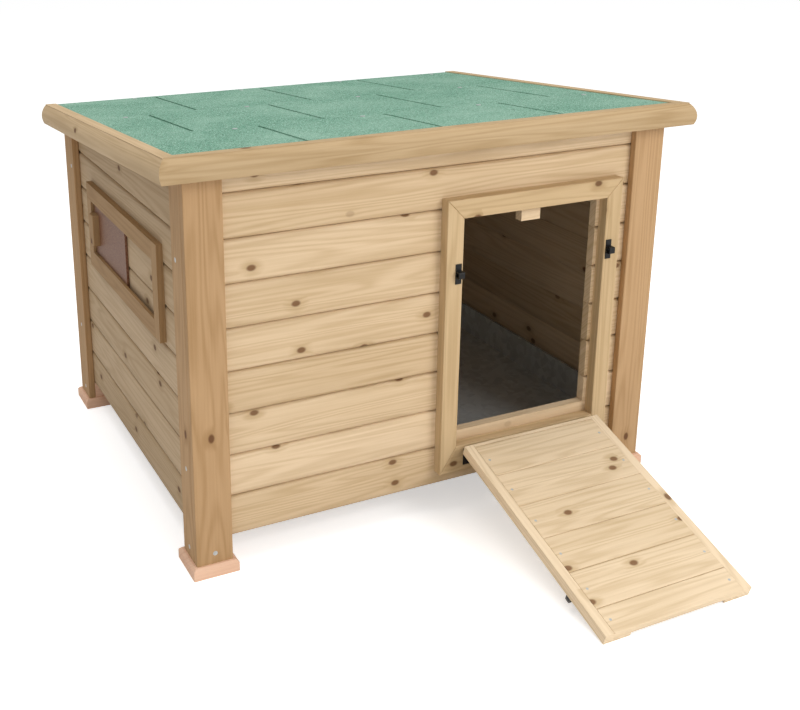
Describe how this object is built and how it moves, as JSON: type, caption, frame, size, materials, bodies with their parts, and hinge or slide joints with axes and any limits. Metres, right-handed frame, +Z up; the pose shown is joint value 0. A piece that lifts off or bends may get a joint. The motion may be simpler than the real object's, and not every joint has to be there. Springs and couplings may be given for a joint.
{
  "type": "duck house",
  "caption": "Small boarded timber duck house on four feet, with a green felt lid, a drop-down ramp door, a sliding side shutter and a metal floor tray",
  "frame": {"origin": "on the ground, under the middle of the bounding box with the ramp down", "axes": "+X to the right of the doorway, +Y to the back, +Z up; the doorway faces -Y"},
  "size_m": [0.865, 1.0472, 0.6228],
  "materials": {
    "treated_pine": "rough sawn, pressure treated",
    "foot_timber": "rough, pinkish",
    "plywood": "sanded",
    "hardboard": "smooth",
    "green_felt": "mineral granules",
    "galvanised_sheet": "galvanised, dull",
    "black_iron": "satin black",
    "zinc_fasteners": "zinc plated"
  },
  "bodies": {
    "house": {"foot_front_left": "foot_timber", "foot_front_right": "foot_timber", "foot_back_left": "foot_timber", "foot_back_right": "foot_timber", "corner_front_left": "treated_pine", "corner_front_right": "treated_pine", "corner_back_left": "treated_pine", "corner_back_right": "treated_pine", "front_boards": "treated_pine", "back_boards": "treated_pine", "left_boards": "treated_pine", "right_boards": "treated_pine", "corner_screws": "zinc_fasteners", "door_rail_bottom": "treated_pine", "door_stile_right": "treated_pine", "door_rail_top": "treated_pine", "door_stile_left": "treated_pine", "door_stop_block": "treated_pine", "floor_ledgers": "treated_pine", "floor_panel": "plywood", "shutter_rail_upper": "treated_pine", "shutter_rail_lower": "treated_pine", "shutter_stop_front": "treated_pine", "shutter_stop_back": "treated_pine", "keeper_left": "black_iron", "keeper_right": "black_iron", "ramp_hinge_fixed": "black_iron", "ramp_hinge_pins": "black_iron", "roof_hinge_fixed": "black_iron", "roof_hinge_pins": "black_iron", "fitting_screws": "black_iron"},
    "tray": {"tray": "galvanised_sheet"},
    "shutter": {"shutter_panel": "hardboard", "shutter_handle": "treated_pine"},
    "ramp": {"ramp_board_1": "treated_pine", "ramp_board_2": "treated_pine", "ramp_board_3": "treated_pine", "ramp_board_4": "treated_pine", "ramp_board_5": "treated_pine", "ramp_board_6": "treated_pine", "ramp_side_left": "treated_pine", "ramp_side_right": "treated_pine", "ramp_head": "treated_pine", "ramp_battens": "treated_pine", "ramp_nails": "zinc_fasteners", "ramp_hinge_moving": "black_iron", "ramp_screws": "black_iron", "bolt_guides_left": "black_iron", "bolt_guides_right": "black_iron"},
    "bolt_left": {"bolt_left": "black_iron"},
    "bolt_right": {"bolt_right": "black_iron"},
    "roof": {"roof_deck": "plywood", "roof_felt": "green_felt", "felt_nails": "zinc_fasteners", "roof_battens": "treated_pine", "roof_hinge_moving": "black_iron", "roof_hinge_screws": "black_iron", "trim_front": "treated_pine", "trim_left": "treated_pine", "trim_right": "treated_pine"}
  },
  "joints": [
    {"name": "roof_hinge", "type": "hinge", "parent": "house", "child": "roof", "pos_m": [0, 0.52003, 0.55537], "axis": [-1, 0, 0], "range_deg": [0, 95]},
    {"name": "ramp_hinge", "type": "hinge", "parent": "house", "child": "ramp", "pos_m": [0.15875, -0.16277, 0.108], "axis": [-1, 0, 0], "range_deg": [0, 107.3]},
    {"name": "shutter_slide", "type": "slide", "parent": "house", "child": "shutter", "axis": [0, -1, 0], "range_m": [0, 0.159]},
    {"name": "bolt_left_slide", "type": "slide", "parent": "ramp", "child": "bolt_left", "axis": [-1, 0, 0], "range_m": [0, 0.017]},
    {"name": "bolt_right_slide", "type": "slide", "parent": "ramp", "child": "bolt_right", "axis": [1, 0, 0], "range_m": [0, 0.017]},
    {"name": "tray_lift", "type": "slide", "parent": "house", "child": "tray", "axis": [0, 0, 1], "range_m": [0, 0.3]}
  ]
}
